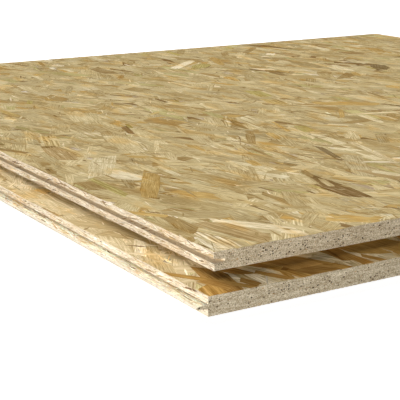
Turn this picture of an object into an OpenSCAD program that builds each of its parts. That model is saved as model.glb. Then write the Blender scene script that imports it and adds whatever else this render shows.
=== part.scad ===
// Two tongue-and-groove OSB panels, one lying on the other.
// The length runs along X and the width along Y. Both panels have a tongue
// on one long edge and a groove on the other, and plain sawn ends. The lower
// panel shows its tongue at the front (-Y), and the upper one its groove.
// The upper panel is set back from the lower one at the front and at the +X end.

/* [Panel] */
// Length of a panel, along the tongue and the groove
panel_length = 1250; // [600:10:3000]
// Width of a panel over all, with its tongue
panel_width = 1250; // [300:5:1500]
// Thickness of a panel
panel_thickness = 18; // [15:0.5:30]

/* [Tongue and groove] */
// Depth of the joint's centre line below the top face
joint_depth = 8.7; // [7:0.1:9]
// How far the tongue stands out from its shoulders
tongue_length = 12; // [8:0.5:16]
// Thickness of the tongue at its shoulders, without the coves
tongue_root = 4.6; // [4:0.1:6]
// Thickness of the tongue's round tip
tongue_tip = 2.2; // [1.6:0.1:3.2]
// Radius of the coves between the tongue and its shoulders
root_cove = 0.6; // [0.3:0.1:1.4]
// Gap between each flank of the tongue and the groove of the next panel
flank_clearance = 0.2; // [0.1:0.05:0.4]
// Gap between the tip of the tongue and the bottom of the groove
tip_clearance = 0.5; // [0.2:0.1:1.5]
// How far the lip under the groove stops short of the lip above it
lower_lip_setback = 0.6; // [0:0.1:1]

/* [Stack] */
// How far the upper panel's sawn end lies behind the lower one's
end_setback = 56; // [0:1:200]
// How far the upper panel's grooved edge lies behind the lower one's shoulder
edge_setback = 41; // [0:1:200]
// Gap between the two faces, which the raised strands of both fill
face_gap = 0.3; // [0.2:0.1:0.8]

/* [Hidden] */
arc_steps = 8;
osb_color = [0.78, 0.68, 0.47];
cut_past = 1;
shoulder_width = panel_width - tongue_length;
groove_depth = tongue_length + tip_clearance;
groove_mouth = tongue_root + 2 * flank_clearance;
groove_bottom = tongue_tip + 2 * flank_clearance;
lip_radius = root_cove + flank_clearance;
joint_height = panel_thickness - joint_depth;
stack_length = panel_length + end_setback;
stack_width = tongue_length + edge_setback + panel_width;
lower_end = stack_length / 2;
lower_shoulder = tongue_length - stack_width / 2;
upper_bottom = panel_thickness + face_gap;

// Points of an arc, from one angle to another.
function arc(center, radius, from, to) = [
    for (i = [0:arc_steps])
        let (angle = from + (to - from) * i / arc_steps)
        center + radius * [cos(angle), sin(angle)]
];

// Outline of a tapered tongue or groove along +X, with its centre line on the axis. Coves
// join its flanks to the panel's edge at X = 0, and its tip is a round that they run into.
module joint_outline(reach, root, tip, cove) {
    tip_center = reach - tip / 2;
    taper = acos(tip / 2 / norm([tip_center, root / 2])) - atan2(tip_center, root / 2);
    cove_side = root / 2 + cove * (1 - sin(taper)) / cos(taper);
    polygon(concat(
        [[-cut_past, -cove_side]],
        arc([cove, -cove_side], cove, 180, 90 + taper),
        arc([tip_center, 0], tip / 2, taper - 90, 90 - taper),
        arc([cove, cove_side], cove, 270 - taper, 180),
        [[-cut_past, cove_side]]
    ));
}

// What is cut away for the groove, with the panel's edge at X = 0.
module groove_outline() {
    joint_outline(groove_depth, groove_mouth, groove_bottom, lip_radius);
    // the lower lip is the shorter one, so that the top faces close first
    translate([-cut_past, -joint_height - cut_past])
        square([cut_past + lower_lip_setback, joint_height + cut_past]);
}

// Section across a panel, with the groove's upper lip at X = 0 and the tongue at the far side.
module panel_section() {
    difference() {
        square([shoulder_width, panel_thickness]);
        translate([0, joint_height]) groove_outline();
    }
    translate([shoulder_width, joint_height])
        joint_outline(tongue_length, tongue_root, tongue_tip, root_cove);
}

// A panel with its groove's edge along Y = 0, its tongue towards +Y and its sawn end at X = 0.
module panel() {
    translate([-panel_length, 0, 0]) rotate([90, 0, 90])
        linear_extrude(height = panel_length) panel_section();
}

// Turned round, so that its tongue is at the front.
module lower_panel() {
    color(osb_color)
        translate([lower_end - panel_length, lower_shoulder + shoulder_width, 0])
            rotate([0, 0, 180]) panel();
}

module upper_panel() {
    color(osb_color)
        translate([lower_end - end_setback, lower_shoulder + edge_setback, upper_bottom]) panel();
}

lower_panel();
upper_panel();
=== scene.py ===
import math

import bpy
import numpy as np
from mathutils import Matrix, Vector


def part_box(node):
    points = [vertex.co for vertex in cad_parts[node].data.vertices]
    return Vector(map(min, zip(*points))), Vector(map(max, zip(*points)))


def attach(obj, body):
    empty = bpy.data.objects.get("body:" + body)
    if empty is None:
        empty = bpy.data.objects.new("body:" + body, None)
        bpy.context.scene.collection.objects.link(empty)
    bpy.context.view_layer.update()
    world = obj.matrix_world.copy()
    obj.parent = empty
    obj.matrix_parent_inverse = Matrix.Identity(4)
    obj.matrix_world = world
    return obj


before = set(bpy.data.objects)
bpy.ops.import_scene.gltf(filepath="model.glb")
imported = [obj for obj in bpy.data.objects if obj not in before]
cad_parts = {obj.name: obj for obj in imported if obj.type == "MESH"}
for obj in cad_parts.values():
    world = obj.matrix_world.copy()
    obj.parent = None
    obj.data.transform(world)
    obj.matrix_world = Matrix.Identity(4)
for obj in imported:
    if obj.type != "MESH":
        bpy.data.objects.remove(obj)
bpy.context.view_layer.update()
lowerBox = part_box("lower_panel")
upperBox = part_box("upper_panel")
mm = 0.001
tongueLength = 12 * mm
lowerLipSetback = 0.6 * mm
jointDepth = 8.7 * mm  # centre line of tongue and groove, below the top face
grooveHalf = 3.3 * mm  # with its rounded lips
tongueHalf = 2.9 * mm  # with its coves
tongueTipRadius = 1.1 * mm
tongueCove = 0.6 * mm
tongueSlope = 0.11  # how its upper flank rises towards the shoulder
scene = bpy.context.scene


def addNode(tree, kind, inputs=None, **settings):
    node = tree.nodes.new(kind)
    for key, value in settings.items():
        setattr(node, key, value)
    for key, value in (inputs or {}).items():
        if isinstance(value, bpy.types.NodeSocket):
            tree.links.new(value, node.inputs[key])
        else:
            node.inputs[key].default_value = value
    return node


def calculate(tree, operation, first, second=0.0, third=0.0):
    terms = {0: first, 1: second, 2: third}
    return addNode(tree, "ShaderNodeMath", terms, operation=operation).outputs[0]


def rescale(tree, value, fromLow, fromHigh, toLow=0.0, toHigh=1.0, kind="SMOOTHSTEP"):
    node = addNode(
        tree, "ShaderNodeMapRange",
        {"Value": value, "From Min": fromLow, "From Max": fromHigh, "To Min": toLow, "To Max": toHigh},
        interpolation_type=kind,
    )
    return node.outputs["Result"]


def mixColors(tree, factor, first, second, blend="MIX"):
    node = addNode(tree, "ShaderNodeMix", {"Factor": factor}, data_type="RGBA", blend_type=blend)
    for socket, value in ((node.inputs[6], first), (node.inputs[7], second)):
        if isinstance(value, bpy.types.NodeSocket):
            tree.links.new(value, socket)
        else:
            socket.default_value = (*value, 1.0)
    return node.outputs[2]


def noiseAt(tree, x, y, z, detail=2.0, roughness=0.5):
    place = addNode(tree, "ShaderNodeCombineXYZ", {"X": x, "Y": y, "Z": z}).outputs[0]
    inputs = {"Vector": place, "Scale": 1.0, "Detail": detail, "Roughness": roughness}
    return addNode(tree, "ShaderNodeTexNoise", inputs).outputs["Fac"]


def newGroup(name, inputs, outputs):
    tree = bpy.data.node_groups.new(name, "ShaderNodeTree")
    for label, default in inputs.items():
        socket = tree.interface.new_socket(label, in_out="INPUT", socket_type="NodeSocketFloat")
        socket.default_value = default
    for label, kind in outputs.items():
        tree.interface.new_socket(label, in_out="OUTPUT", socket_type=kind)
    return tree, tree.nodes.new("NodeGroupInput").outputs, tree.nodes.new("NodeGroupOutput").inputs


def placeGroup(tree, group, inputs):
    return addNode(tree, "ShaderNodeGroup", inputs, node_tree=group).outputs


def buildWoodGrain():
    tree, given, result = newGroup(
        "woodGrain", {"Along": 0.0, "Across": 0.0, "Seed": 0.0},
        {"Rings": "NodeSocketFloat", "Streaks": "NodeSocketFloat", "Fibres": "NodeSocketFloat"},
    )
    wander = noiseAt(
        tree,
        calculate(tree, "MULTIPLY", given["Along"], 18.0),
        calculate(tree, "MULTIPLY", given["Across"], 50.0),
        given["Seed"], detail=1.0,
    )
    shift = calculate(tree, "MULTIPLY_ADD", wander, 6 * mm, given["Across"])
    for label, across, length, width, detail in (
        ("Rings", shift, 110 * mm, 2.6 * mm, 0.0),
        ("Streaks", shift, 32 * mm, 1.5 * mm, 1.0),
        ("Fibres", given["Across"], 11 * mm, 0.6 * mm, 2.0),
    ):
        tree.links.new(noiseAt(
            tree,
            calculate(tree, "DIVIDE", given["Along"], length),
            calculate(tree, "DIVIDE", across, width),
            given["Seed"], detail=detail,
        ), result[label])
    return tree


def buildPores():
    tree, given, result = newGroup(
        "pores",
        {"Along": 0.0, "Across": 0.0, "Seed": 0.0, "Length": 4 * mm, "Width": 3 * mm, "Amount": 0.5},
        {"Pits": "NodeSocketFloat"},
    )
    ragged = noiseAt(
        tree,
        calculate(tree, "DIVIDE", given["Along"], 1.0 * mm),
        calculate(tree, "DIVIDE", given["Across"], 0.8 * mm),
        given["Seed"], detail=1.0,
    )
    alongCells = calculate(tree, "DIVIDE", given["Along"], given["Length"])
    acrossCells = calculate(tree, "DIVIDE", given["Across"], given["Width"])
    cells = addNode(tree, "ShaderNodeTexVoronoi", {
        "Vector": addNode(tree, "ShaderNodeCombineXYZ", {
            "X": calculate(tree, "MULTIPLY_ADD", ragged, 0.5, alongCells),
            "Y": calculate(tree, "MULTIPLY_ADD", ragged, 0.5, acrossCells),
            "Z": given["Seed"],
        }).outputs[0],
        "Scale": 1.0,
    })
    chance = addNode(tree, "ShaderNodeSeparateXYZ", {0: cells.outputs["Color"]}).outputs
    reach = calculate(tree, "MULTIPLY_ADD", calculate(tree, "POWER", chance["X"], 2.0), 0.28, 0.15)
    inside = rescale(tree, calculate(tree, "SUBTRACT", reach, cells.outputs["Distance"]), 0.0, 0.07)
    present = calculate(tree, "LESS_THAN", chance["Y"], given["Amount"])
    tree.links.new(calculate(tree, "MULTIPLY", inside, present), result["Pits"])
    return tree


woodGrain = buildWoodGrain()
pores = buildPores()
print("shared effects built")


def startMaterial(name, roughness, specular):
    material = bpy.data.materials.new(name)
    material.use_nodes = True
    tree = material.node_tree
    shader = tree.nodes["Principled BSDF"]
    shader.inputs["Roughness"].default_value = roughness
    shader.inputs["Specular IOR Level"].default_value = specular
    return material, tree, shader


def addBump(tree, shader, height, depth):
    bump = addNode(tree, "ShaderNodeBump", {"Height": height, "Distance": depth, "Strength": 1.0})
    tree.links.new(bump.outputs["Normal"], shader.inputs["Normal"])


strandLook = {
    "rings": 0.60,  # how strongly each effect darkens or lightens a strand
    "streaks": 0.50,
    "fibres": 0.55,
    # the rim is painted shade along some strands' edges and painted highlight along others, standing for the
    # steps between strands; the pale rims are partly frayed wood too
    "rim": 0.34,
    "rimWidth": 0.16,  # share of a strand's half width
    "rimStart": 0.95,  # where the rim at its ends begins, as a share of its half length
    "patches": 0.30,
    "patchSize": (90 * mm, 35 * mm),
    "resinSize": (70 * mm, 28 * mm),
    "resin": (1.04, 0.90, 0.66),  # what the warmer patches do to the colour
    "specular": 0.0,
    "roughness": (0.65, 0.85),
    "bump": 0.09 * mm,
}


def aroundOne(tree, noise, strength, base):
    return calculate(tree, "MULTIPLY_ADD", calculate(tree, "SUBTRACT", noise, 0.5), strength, base)


def pressedStrands():
    material, tree, shader = startMaterial("pressed_strands", 0.5, strandLook["specular"])
    tint = addNode(tree, "ShaderNodeAttribute", attribute_name="strandColor")
    marks = addNode(tree, "ShaderNodeSeparateXYZ", {
        0: addNode(tree, "ShaderNodeAttribute", attribute_name="strandMarks").outputs["Color"],
    }).outputs
    grainMap = addNode(tree, "ShaderNodeUVMap", uv_map="grain").outputs[0]
    grainPlace = addNode(tree, "ShaderNodeSeparateXYZ", {0: grainMap}).outputs
    rimMap = addNode(tree, "ShaderNodeUVMap", uv_map="rim").outputs[0]
    rimPlace = addNode(tree, "ShaderNodeSeparateXYZ", {0: rimMap}).outputs
    place = addNode(
        tree, "ShaderNodeSeparateXYZ", {0: addNode(tree, "ShaderNodeTexCoord").outputs["Object"]}
    ).outputs
    grain = placeGroup(tree, woodGrain, {"Along": grainPlace["X"], "Across": grainPlace["Y"]})
    ringStrength = calculate(tree, "MULTIPLY", marks["X"], 2 * strandLook["rings"])
    shade = aroundOne(tree, grain["Rings"], ringStrength, 1.0)
    shade = aroundOne(tree, grain["Streaks"], 2 * strandLook["streaks"], shade)
    shade = aroundOne(tree, grain["Fibres"], 2 * strandLook["fibres"], shade)
    patches = noiseAt(
        tree,
        calculate(tree, "DIVIDE", place["X"], strandLook["patchSize"][0]),
        calculate(tree, "DIVIDE", place["Y"], strandLook["patchSize"][1]),
        0.0,
    )
    shade = aroundOne(tree, patches, 2 * strandLook["patches"], shade)
    toSide = rescale(
        tree, calculate(tree, "ABSOLUTE", rimPlace["Y"]), 1 - strandLook["rimWidth"], 1.0, kind="LINEAR"
    )
    toEnd = rescale(
        tree, calculate(tree, "ABSOLUTE", rimPlace["X"]), strandLook["rimStart"], 1.0, kind="LINEAR"
    )
    # rim: painted shade on some strands' edges and painted highlight on others, for the steps between
    # strands
    rim = calculate(tree, "MULTIPLY", calculate(tree, "MAXIMUM", toSide, toEnd), marks["Y"])
    shade = calculate(tree, "MULTIPLY_ADD", rim, strandLook["rim"], shade)
    shade = calculate(tree, "MAXIMUM", shade, 0.12)
    shadeColor = addNode(tree, "ShaderNodeCombineXYZ", {
        "X": shade, "Y": calculate(tree, "POWER", shade, 1.25), "Z": calculate(tree, "POWER", shade, 1.75),
    }).outputs[0]
    color = mixColors(tree, 1.0, tint.outputs["Color"], shadeColor, blend="MULTIPLY")
    resin = noiseAt(
        tree,
        calculate(tree, "DIVIDE", place["X"], strandLook["resinSize"][0]),
        calculate(tree, "DIVIDE", place["Y"], strandLook["resinSize"][1]),
        9.0, detail=3.0, roughness=0.6,
    )
    color = mixColors(
        tree, rescale(tree, resin, 0.50, 0.68, 0.0, 0.8), color, strandLook["resin"], blend="MULTIPLY"
    )
    tree.links.new(color, shader.inputs["Base Color"])
    low, high = strandLook["roughness"]
    tree.links.new(rescale(tree, grain["Streaks"], 0.3, 0.7, low, high), shader.inputs["Roughness"])
    relief = calculate(tree, "MULTIPLY_ADD", grain["Streaks"], 1.5, grain["Fibres"])
    addBump(tree, shader, relief, strandLook["bump"])
    return material


edgeLook = {
    "milled": (0.80, 0.68, 0.49),
    "milledPale": (0.90, 0.81, 0.64),
    "milledBrown": (0.48, 0.31, 0.17),
    "sawn": (0.55, 0.46, 0.31),
    "sawnPale": (0.80, 0.70, 0.52),
    "sawnBrown": (0.36, 0.27, 0.16),
    "rust": (0.55, 0.30, 0.10),
    # near black: painted shade inside the voids of the sawn ends
    "pitShade": (0.07, 0.04, 0.02),
    "under": (0.48, 0.35, 0.17),
    "underBrown": (0.30, 0.20, 0.09),
    "arris": 3 * mm,  # strip along the panel's edge where the tools tore the face
    "bump": 0.5 * mm,
}


def panelWood(name, box):
    material, tree, shader = startMaterial(name, 0.8, 0.15)
    place = addNode(
        tree, "ShaderNodeSeparateXYZ", {0: addNode(tree, "ShaderNodeTexCoord").outputs["Object"]}
    ).outputs
    normal = addNode(
        tree, "ShaderNodeSeparateXYZ", {0: addNode(tree, "ShaderNodeNewGeometry").outputs["Normal"]}
    ).outputs
    onEnd = rescale(tree, calculate(tree, "ABSOLUTE", normal["X"]), 0.5, 0.6)
    onFace = rescale(tree, calculate(tree, "ABSOLUTE", normal["Z"]), 0.996, 0.999)
    height = calculate(tree, "SUBTRACT", place["Z"], box[0].z)
    thickness = box[1].z - box[0].z
    toMiddle = calculate(tree, "ABSOLUTE", calculate(tree, "SUBTRACT", height, thickness / 2))
    inCore = rescale(tree, toMiddle, thickness * 0.25, thickness * 0.46, 1.0, 0.0)

    def spots(x, y, z, detail=2.0):
        scaled = [calculate(tree, "DIVIDE", place[axis], size * mm) for axis, size in zip("XYZ", (x, y, z))]
        return noiseAt(tree, *scaled, detail=detail, roughness=0.65)

    layers = spots(9.0, 11.0, 0.8)  # strands cut across, in thin layers
    speckle = spots(1.1, 1.1, 0.9)
    patches = spots(26.0, 26.0, 6.0)
    endTone = calculate(tree, "MULTIPLY_ADD", layers, 0.30, calculate(tree, "MULTIPLY", speckle, 0.70))
    endTone = calculate(tree, "MULTIPLY_ADD", calculate(tree, "SUBTRACT", patches, 0.5), 0.18, endTone)
    endColor = mixColors(tree, rescale(tree, endTone, 0.40, 0.50), edgeLook["sawnBrown"], edgeLook["sawn"])
    endColor = mixColors(tree, rescale(tree, endTone, 0.51, 0.60), endColor, edgeLook["sawnPale"])
    rust = rescale(tree, spots(5.0, 5.0, 1.3), 0.66, 0.72, 0.0, 0.7)
    endColor = mixColors(tree, rust, endColor, edgeLook["rust"])
    clusters = rescale(tree, spots(14.0, 14.0, 4.0), 0.34, 0.62, 0.25, 1.0)
    coreAmount = rescale(tree, inCore, 0.0, 1.0, 0.35, 1.0, kind="LINEAR")
    endPits = placeGroup(tree, pores, {
        "Along": place["Y"], "Across": place["Z"], "Seed": 1.0, "Length": 2.7 * mm, "Width": 2.0 * mm,
        "Amount": calculate(tree, "MULTIPLY", clusters, coreAmount),
    })["Pits"]
    # the pits are coloured near black, painted shade in the voids
    endColor = mixColors(tree, endPits, endColor, edgeLook["pitShade"])

    streaks = spots(18.0, 1.3, 1.2)  # strands cut along their length
    flecks = spots(4.5, 1.1, 1.0)
    blotches = spots(34.0, 9.0, 5.0)
    milledTone = calculate(tree, "MULTIPLY_ADD", streaks, 0.6, calculate(tree, "MULTIPLY", blotches, 0.4))
    milledColor = mixColors(
        tree, rescale(tree, milledTone, 0.42, 0.56), edgeLook["milled"], edgeLook["milledPale"]
    )
    fleckMask = rescale(tree, flecks, 0.57, 0.68, 0.0, 0.8)
    milledColor = mixColors(tree, fleckMask, milledColor, edgeLook["milledBrown"])
    milledPits = placeGroup(tree, pores, {
        "Along": place["X"], "Across": place["Z"], "Seed": 5.0,
        "Length": 6 * mm, "Width": 2 * mm, "Amount": 0.10,
    })["Pits"]
    milledColor = mixColors(tree, milledPits, milledColor, edgeLook["milledBrown"])

    under = spots(30.0, 2.5, 30.0)  # the face between the strands that lie on it
    faceColor = mixColors(tree, rescale(tree, under, 0.35, 0.65), edgeLook["underBrown"], edgeLook["under"])
    halfLength = (box[1].x - box[0].x) / 2
    middleX = (box[1].x + box[0].x) / 2
    fromMiddle = calculate(tree, "ABSOLUTE", calculate(tree, "SUBTRACT", place["X"], middleX))
    fromEnds = calculate(tree, "SUBTRACT", halfLength, fromMiddle)
    arris = rescale(tree, fromEnds, edgeLook["arris"], edgeLook["arris"] * 1.3, 1.0, 0.0)
    faceColor = mixColors(tree, arris, faceColor, endColor)
    faceHalf = (box[1].y - box[0].y - tongueLength) / 2
    for middleY in (box[0].y + faceHalf, box[1].y - faceHalf):
        fromMiddle = calculate(tree, "ABSOLUTE", calculate(tree, "SUBTRACT", place["Y"], middleY))
        fromEdge = calculate(tree, "SUBTRACT", faceHalf, fromMiddle)
        distance = calculate(tree, "ABSOLUTE", fromEdge)
        torn = rescale(tree, distance, edgeLook["arris"], edgeLook["arris"] * 1.3, 1.0, 0.0)
        faceColor = mixColors(tree, torn, faceColor, milledColor)

    color = mixColors(tree, onEnd, milledColor, endColor)
    color = mixColors(tree, onFace, color, faceColor)
    tree.links.new(color, shader.inputs["Base Color"])
    pits = calculate(
        tree, "ADD", calculate(tree, "MULTIPLY", onEnd, endPits),
        calculate(tree, "MULTIPLY", calculate(tree, "SUBTRACT", 1.0, onEnd), milledPits),
    )
    relief = calculate(tree, "SUBTRACT", calculate(tree, "MULTIPLY", speckle, 0.6), pits)
    addBump(tree, shader, relief, edgeLook["bump"])
    return material


for nodeName, nodeBox in (("lower_panel", lowerBox), ("upper_panel", upperBox)):
    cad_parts[nodeName].material_slots[0].material = panelWood(nodeName + "_wood", nodeBox)
print("panel wood on the two panels")


strandTones = (  # share of the flakes, share of the slivers, colour
    (0.25, 0.12, (0.53, 0.415, 0.21)),  # straw
    (0.22, 0.10, (0.485, 0.37, 0.18)),  # sand
    (0.20, 0.18, (0.58, 0.46, 0.245)),  # light straw
    (0.12, 0.10, (0.44, 0.325, 0.145)),  # tan
    (0.03, 0.19, (0.655, 0.54, 0.315)),  # cream
    (0.06, 0.13, (0.375, 0.255, 0.10)),  # brown
    (0.04, 0.02, (0.455, 0.375, 0.16)),  # olive
    (0.05, 0.04, (0.495, 0.33, 0.115)),  # orange
    (0.01, 0.05, (0.73, 0.615, 0.40)),  # pale
    # dark brown slivers are partly bark and partly painted shade standing for the gaps between strands
    (0.02, 0.07, (0.25, 0.155, 0.06)),  # dark brown
)

strandKinds = (  # with the spread of their direction in degrees, and how high they lie in the mat
    {"share": 0.24, "length": (60 * mm, 120 * mm), "width": (14 * mm, 36 * mm), "spread": 26, "lift": 0.0},
    {"share": 0.24, "length": (30 * mm, 90 * mm), "width": (6 * mm, 15 * mm), "spread": 24, "lift": 0.10},
    {"share": 0.42, "length": (8 * mm, 45 * mm), "width": (0.9 * mm, 4.0 * mm), "spread": 24, "lift": 0.40},
    {"share": 0.10, "length": (20 * mm, 60 * mm), "width": (8 * mm, 26 * mm), "spread": 80, "lift": 0.05},
)

splinterTones = (  # share of the wider ones, share of the slivers, colour
    (0.36, 0.36, (0.760, 0.630, 0.445)),  # cream
    (0.30, 0.30, (0.850, 0.745, 0.580)),  # pale
    (0.14, 0.14, (0.670, 0.520, 0.350)),  # rose
    (0.12, 0.12, (0.600, 0.455, 0.250)),  # straw
    (0.06, 0.06, (0.430, 0.290, 0.150)),  # brown
    (0.02, 0.02, (0.200, 0.120, 0.060)),  # dark brown
)

splinterKinds = (
    {"share": 0.45, "length": (8 * mm, 34 * mm), "width": (0.9 * mm, 2.4 * mm), "spread": 6, "lift": 0.0},
    {"share": 0.55, "length": (2 * mm, 11 * mm), "width": (0.4 * mm, 1.3 * mm), "spread": 14, "lift": 0.3},
)

matLook = {
    "kinds": strandKinds,
    "tones": strandTones,
    "perSquareMetre": 6900,
    "mixing": 1.0,  # how freely the kinds of strands change places in height
    "plainness": 3.0,  # the higher, the fewer strands have strong rings
    "reach": 30 * mm,
    "relief": (0.03 * mm, 0.26 * mm),
    "flakeJitter": 0.06,
    "sliverJitter": 0.11,
    "tear": (0.0, 1.9 * mm),  # how far a strand may be torn back from the panel's edge
}

pressedLook = {**matLook, "relief": (0.02 * mm, 0.14 * mm)}  # where the two panels lie on each other

splinterLook = {
    "kinds": splinterKinds,
    "tones": splinterTones,
    "perSquareMetre": 110000,
    "mixing": 1.0,
    "plainness": 3.0,
    "reach": 0.6 * mm,
    "relief": (0.02 * mm, 0.20 * mm),
    "flakeJitter": 0.10,
    "sliverJitter": 0.10,
    "tear": (0.0, 0.6 * mm),
}

sliverWidth = 5 * mm

notchedWidth = 28 * mm  # wider strands have broken ends

standoutKinds = (
    {"share": 0.35, "length": (40 * mm, 85 * mm), "width": (18 * mm, 36 * mm), "spread": 18, "lift": 0.95},
    {"share": 0.30, "length": (60 * mm, 130 * mm), "width": (8 * mm, 15 * mm), "spread": 20, "lift": 1.15},
    {"share": 0.35, "length": (15 * mm, 45 * mm), "width": (7 * mm, 16 * mm), "spread": 30, "lift": 1.15},
)

standoutTones = (
    (0.22, 0.22, (0.44, 0.31, 0.14)),  # rose brown
    (0.22, 0.22, (0.50, 0.36, 0.14)),  # orange
    (0.10, 0.10, (0.61, 0.49, 0.28)),  # cream
    (0.22, 0.22, (0.43, 0.34, 0.12)),  # olive
    (0.16, 0.16, (0.35, 0.24, 0.10)),  # brown
    (0.08, 0.08, (0.26, 0.18, 0.08)),  # dark brown
)

shadedBrownTones = (
    (0.40, 0.40, (0.34, 0.19, 0.045)),  # orange brown
    (0.40, 0.40, (0.30, 0.16, 0.038)),  # brown
    (0.20, 0.20, (0.26, 0.135, 0.03)),  # dark brown
)

standoutLook = {  # the few strands that catch the eye on a top face
    **matLook,
    "kinds": standoutKinds,
    "tones": standoutTones,
    "perSquareMetre": 40,
    "reach": 0.0,
    "mixing": 0.2,
    "plainness": 1.0,
}

shadedBrownLook = {  # browner strands along the end of the lower panel, above all others there: partly painted shade where the upper panel's shadow falls across this strip, partly the strip's own browner wood
    **standoutLook,
    "kinds": [{**kind, "lift": 1.4} for kind in standoutKinds],
    "tones": shadedBrownTones,
    "perSquareMetre": 2200,
}


def clipOutline(points, axis, limit, keepBelow):
    kept = []
    for here, after in zip(points, points[1:] + points[:1]):
        hereIn = (here[axis] <= limit) == keepBelow
        afterIn = (after[axis] <= limit) == keepBelow
        if hereIn:
            kept.append(here)
        if hereIn != afterIn:
            share = (limit - here[axis]) / (after[axis] - here[axis])
            kept.append(tuple(a + (b - a) * share for a, b in zip(here, after)))
    return kept


def strandOutline(rng, length, width):
    half = length / 2
    if width < sliverWidth:
        near, far = rng.uniform(0.1, 0.9, 2) * width / 2
        middle, otherMiddle = rng.uniform(-0.3, 0.3, 2) * length
        return [(-half, -near), (middle, -width / 2), (half, far), (otherMiddle, width / 2)]
    near, far = rng.uniform(0.6, 1.0, 2) * width / 2
    slantNear, slantFar = np.clip(rng.normal(0, 0.3, 2) * width, -0.16 * length, 0.16 * length)
    notchNear, notchFar = np.clip(rng.normal(0, 0.16, 2) * width, -0.1 * length, 0.1 * length)
    acrossNear, acrossFar = rng.uniform(-0.5, 0.5, 2) * width / 2
    middle, otherMiddle = rng.uniform(-0.25, 0.25, 2) * length
    start = [(-half + notchNear, acrossNear)] if width > notchedWidth else []
    end = [(half + notchFar, acrossFar)] if width > notchedWidth else []
    return [
        (-half - slantNear, -near), (middle, -width / 2), (half - slantFar, -far), *end,
        (half + slantFar, far), (otherMiddle, width / 2), (-half + slantNear, near), *start,
    ]


def scatterStrands(rng, area, look, drift):
    lowX, highX, lowY, highY = area
    reach = look["reach"]
    wide, deep = highX - lowX + 2 * reach, highY - lowY + 2 * reach
    rows = max(int(math.sqrt(look["perSquareMetre"]) * deep), 1)
    columns = int(look["perSquareMetre"] * wide * deep / rows)
    shares = np.cumsum([kind["share"] for kind in look["kinds"]])
    flakeShares = np.cumsum([tone[0] for tone in look["tones"]])
    sliverShares = np.cumsum([tone[1] for tone in look["tones"]])
    strands = []
    for cell in range(columns * rows):
        kind = look["kinds"][min(int(np.searchsorted(shares, rng.random())), len(shares) - 1)]
        width = rng.uniform(*kind["width"])
        isSliver = width < sliverWidth
        toneIndex = int(np.searchsorted(sliverShares if isSliver else flakeShares, rng.random()))
        bright = 1 + rng.normal(0, look["sliverJitter" if isSliver else "flakeJitter"])
        strands.append({
            "center": (
                lowX - reach + (cell % columns + rng.random()) * wide / columns,
                lowY - reach + (cell // columns + rng.random()) * deep / rows,
            ),
            "size": (rng.uniform(*kind["length"]), width),
            "turn": math.radians(rng.normal(drift, kind["spread"])),
            "tone": [channel * bright for channel in look["tones"][min(toneIndex, len(flakeShares) - 1)][2]],
            # the second mark sets the rim: below zero a painted shade along the edge, above zero a painted
            # highlight
            "marks": (rng.random() ** look["plainness"], rng.uniform(-1.0, 0.7)),
            "order": rng.random() * look["mixing"] + kind["lift"],
        })
    return strands


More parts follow.
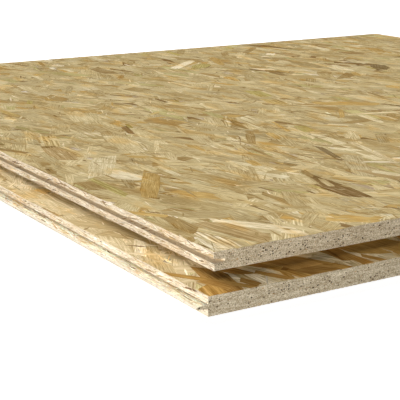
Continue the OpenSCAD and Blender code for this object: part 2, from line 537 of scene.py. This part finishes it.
def makeStrandMat(
    name, area, level, facing, seed, look, cover=None, extra=(), drift=0, overhang=(0, 0), slant=0.0,
    tint=(1, 1, 1),
):
    # area is the face's lowest and highest place along and across it, cover the part of it that another
    # panel hides, drift how far the strands lie off the panel's length on average, in degrees, overhang
    # how far splinters reach past its two long sides, and slant how steeply it rises across
    rng = np.random.default_rng(seed)
    lowX, highX, lowY, highY = area
    strands = sorted([*scatterStrands(rng, area, look, drift), *extra], key=lambda strand: strand["order"])
    lowRelief, highRelief = look["relief"]
    vertices, faces, colors, marks, bakePlaces, grainPlaces, rimPlaces = [], [], [], [], [], [], []
    for rank, strand in enumerate(strands):
        centerX, centerY = strand["center"]
        length, width = strand["size"]
        cosine, sine = math.cos(strand["turn"]), math.sin(strand["turn"])
        outline = strandOutline(rng, length, width)
        tears = look["tear"][0] + rng.random(4) ** 0.6 * (look["tear"][1] - look["tear"][0])
        offset = rng.uniform(0, 40, 2)
        points = [(centerX + x * cosine - y * sine, centerY + x * sine + y * cosine) for x, y in outline]
        if cover and all(cover[0] < x < cover[1] and cover[2] < y < cover[3] for x, y in points):
            continue
        for axis, limit, keepBelow in (
            (0, lowX + tears[0], False), (0, highX - tears[1], True),
            (1, lowY - overhang[0] + tears[2], False), (1, highY + overhang[1] - tears[3], True),
        ):
            points = clipOutline(points, axis, limit, keepBelow) if points else points
        if len(points) < 3:
            continue
        if facing == "down":
            points.reverse()
        top = lowRelief + (highRelief - lowRelief) * rank / len(strands)
        first = len(vertices)
        number = len(points)
        for proud in (0.0, top):
            if facing == "front":
                vertices += [(x, level - proud, z) for x, z in points]
            else:
                step = proud if facing == "up" else -proud
                vertices += [(x, y, level + slant * (y - lowY) + step) for x, y in points]
        faces.append([first + i for i in reversed(range(number))])
        faces += [
            [first + i, first + (i + 1) % number, first + number + (i + 1) % number, first + number + i]
            for i in range(number)
        ]
        faces.append([first + number + i for i in range(number)])
        colors += [(*[min(a * b, 0.9) for a, b in zip(strand["tone"], tint)], 1.0)] * (2 * number)
        marks += [(*strand["marks"], 0.0, 1.0)] * (2 * number)
        local = [
            ((x - centerX) * cosine + (y - centerY) * sine, (y - centerY) * cosine - (x - centerX) * sine)
            for x, y in points
        ] * 2
        bakePlaces += [((x - lowX) / (highX - lowX), (y - lowY) / (highY - lowY)) for x, y in points] * 2
        grainPlaces += [(along + offset[0], across + offset[1]) for along, across in local]
        rimPlaces += [(2 * along / length, 2 * across / width) for along, across in local]
    mesh = bpy.data.meshes.new(name)
    mesh.from_pydata(vertices, [], faces)
    corners = np.zeros(len(mesh.loops), np.int32)
    mesh.loops.foreach_get("vertex_index", corners)
    for label, places in (("OFBake", bakePlaces), ("grain", grainPlaces), ("rim", rimPlaces)):
        layer = mesh.uv_layers.new(name=label)
        layer.data.foreach_set("uv", np.array(places)[corners].astype(np.float32).ravel())
    for label, values in (("strandColor", colors), ("strandMarks", marks)):
        attribute = mesh.attributes.new(label, "FLOAT_COLOR", "POINT")
        attribute.data.foreach_set("color", np.array(values, np.float32).ravel())
    piece = bpy.data.objects.new(name, mesh)
    scene.collection.objects.link(piece)
    mesh.materials.append(strandMaterial)
    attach(piece, "root")
    print(name, len(strands), "strands,", len(corners) - 2 * len(faces), "triangles")


strandMaterial = pressedStrands()


def faceArea(box, tongueInFront, lipSetback=0.0):
    lowY = box[0].y + (tongueLength if tongueInFront else lipSetback)
    highY = box[1].y - (lipSetback if tongueInFront else tongueLength)
    return (box[0].x, box[1].x, lowY, highY)


upperTop = faceArea(upperBox, False)
lowerTop = faceArea(lowerBox, True)
upperUnderside = faceArea(upperBox, False, lowerLipSetback)
lowerUnderside = faceArea(lowerBox, True, lowerLipSetback)
makeStrandMat(
    "upper_panel_top_strands", upperTop, upperBox[1].z, "up", 11, matLook, drift=11,
    extra=scatterStrands(np.random.default_rng(21), upperTop, standoutLook, 0),
)
# the brown strands on this strip are partly painted shade from the upper panel above it
endStrip = (upperBox[1].x, lowerBox[1].x, *lowerTop[2:])
# the lower panel's top strands are lightened: partly painted light, since its front strip is lit more
# brightly than the upper top, partly a paler tone of its own
makeStrandMat(
    "lower_panel_top_strands", lowerTop, lowerBox[1].z, "up", 12, pressedLook, cover=upperTop,
    tint=(1.27, 1.26, 1.38), extra=scatterStrands(np.random.default_rng(22), endStrip, shadedBrownLook, 8),
)
makeStrandMat(
    "upper_panel_underside_strands", upperUnderside, upperBox[0].z, "down", 13, pressedLook, cover=lowerTop
)
makeStrandMat("lower_panel_underside_strands", lowerUnderside, lowerBox[0].z, "down", 14, matLook)

upperLip = (upperBox[0].x, upperBox[1].x, upperBox[1].z - jointDepth + grooveHalf, upperBox[1].z)
lowerLip = (upperBox[0].x, upperBox[1].x, upperBox[0].z, upperBox[1].z - jointDepth - grooveHalf)
shoulder = (lowerBox[0].x, lowerBox[1].x, lowerBox[1].z - jointDepth + tongueHalf, lowerBox[1].z)
# the upper lip's splinters are toned down: painted shade against the stronger light that falls on this lip
makeStrandMat(
    "upper_lip_splinters", upperLip, upperBox[0].y, "front", 15, splinterLook,
    overhang=(1.4 * mm, 0.2 * mm), tint=(0.92, 0.92, 0.92),
)
makeStrandMat(
    "lower_lip_splinters", lowerLip, upperBox[0].y + lowerLipSetback, "front", 16, splinterLook,
    overhang=(0.0, 1.0 * mm),
)
makeStrandMat(
    "shoulder_splinters", shoulder, lowerBox[0].y + tongueLength, "front", 17, splinterLook,
    overhang=(0.6 * mm, 0.2 * mm),
)
tongueTop = (
    lowerBox[0].x, lowerBox[1].x,
    lowerBox[0].y + tongueTipRadius, lowerBox[0].y + tongueLength - tongueCove,
)
# the tongue's splinters are lightened: painted light against the shadow the shoulder casts on the back of
# the tongue
makeStrandMat(
    "tongue_splinters", tongueTop, lowerBox[1].z - jointDepth + tongueTipRadius, "up", 18, splinterLook,
    slant=tongueSlope, tint=(1.25, 1.20, 1.10),
)


viewLook = {
    "distance": 0.95,  # from the lower panel's near corner, along the floor
    "heading": 31.7,  # between the view and the panels' long direction, in degrees
    "sideStep": 7.08 * mm,
    "height": 352.6 * mm,
    "tilt": 14.67,
    "lens": 105.6,
}


def placeCamera():
    heading = math.radians(viewLook["heading"])
    forward = Vector((-math.cos(heading), math.sin(heading), 0))
    right = Vector((forward.y, -forward.x, 0))
    corner = Vector((lowerBox[1].x, lowerBox[0].y + tongueLength, 0))
    camera = bpy.data.objects.new("camera", bpy.data.cameras.new("camera"))
    camera.data.lens = viewLook["lens"]
    camera.data.sensor_width = 36
    camera.data.clip_end = 100
    camera.location = corner - forward * viewLook["distance"] - right * viewLook["sideStep"]
    camera.location.z = viewLook["height"]
    tilt = math.radians(viewLook["tilt"])
    aim = forward * math.cos(tilt) - Vector((0, 0, math.sin(tilt)))
    camera.rotation_euler = aim.to_track_quat("-Z", "Y").to_euler()
    scene.collection.objects.link(camera)
    scene.camera = camera


placeCamera()

lightLook = {
    "sky": 0.06,
    "key": {"toward": (-1.33, 0.55, 1.0), "angle": 22, "strength": 1.7},
    "side": {"toward": (-3.9, 0.65, 1.0), "angle": 14, "strength": 7.8},
    "front": {"place": (2.3, -3.0, 0.10), "size": 0.6, "power": 150},
}


def addLight(name, kind, place, target, power):
    light = bpy.data.objects.new(name, bpy.data.lights.new(name, kind))
    light.data.energy = power
    light.location = place
    light.rotation_euler = (target - place).to_track_quat("-Z", "Y").to_euler()
    scene.collection.objects.link(light)
    return light.data


def lightScene():
    world = bpy.data.worlds.new("studio")
    world.use_nodes = True
    world.node_tree.nodes["Background"].inputs["Color"].default_value = (1, 1, 1, 1)
    world.node_tree.nodes["Background"].inputs["Strength"].default_value = lightLook["sky"]
    scene.world = world
    corner = Vector((upperBox[1].x, upperBox[0].y, upperBox[0].z))
    for name in ("key", "side"):
        look = lightLook[name]
        light = addLight(name + "_light", "SUN", corner + Vector(look["toward"]), corner, look["strength"])
        light.angle = math.radians(look["angle"])
    look = lightLook["front"]
    light = addLight("front_light", "AREA", Vector(look["place"]), corner, look["power"])
    light.shape = "DISK"
    light.size = look["size"]
    scene.view_settings.view_transform = "Standard"


floorLook = {
    "half": 14,
    "gap": 0.05 * mm,  # below the strands of the underside
    "color": (0.40, 0.40, 0.40),
    "glow": 0.92,
}


def layFloor():
    size = floorLook["half"]
    below = matLook["relief"][1] + floorLook["gap"]
    mesh = bpy.data.meshes.new("floor")
    mesh.from_pydata(
        [(-size, -size, -below), (size, -size, -below), (size, size, -below), (-size, size, -below)],
        [], [(0, 1, 2, 3)],
    )
    floor = bpy.data.objects.new("floor", mesh)
    material, tree, shader = startMaterial("pale_floor", 0.9, 0.1)
    shader.inputs["Base Color"].default_value = (*floorLook["color"], 1)
    shader.inputs["Emission Color"].default_value = (1, 1, 1, 1)
    seen = addNode(tree, "ShaderNodeLightPath").outputs["Is Camera Ray"]
    glow = calculate(tree, "MULTIPLY", seen, floorLook["glow"])  # lights nothing but the view
    tree.links.new(glow, shader.inputs["Emission Strength"])
    mesh.materials.append(material)
    scene.collection.objects.link(floor)


lightScene()
layFloor()
print("camera, light and floor set")
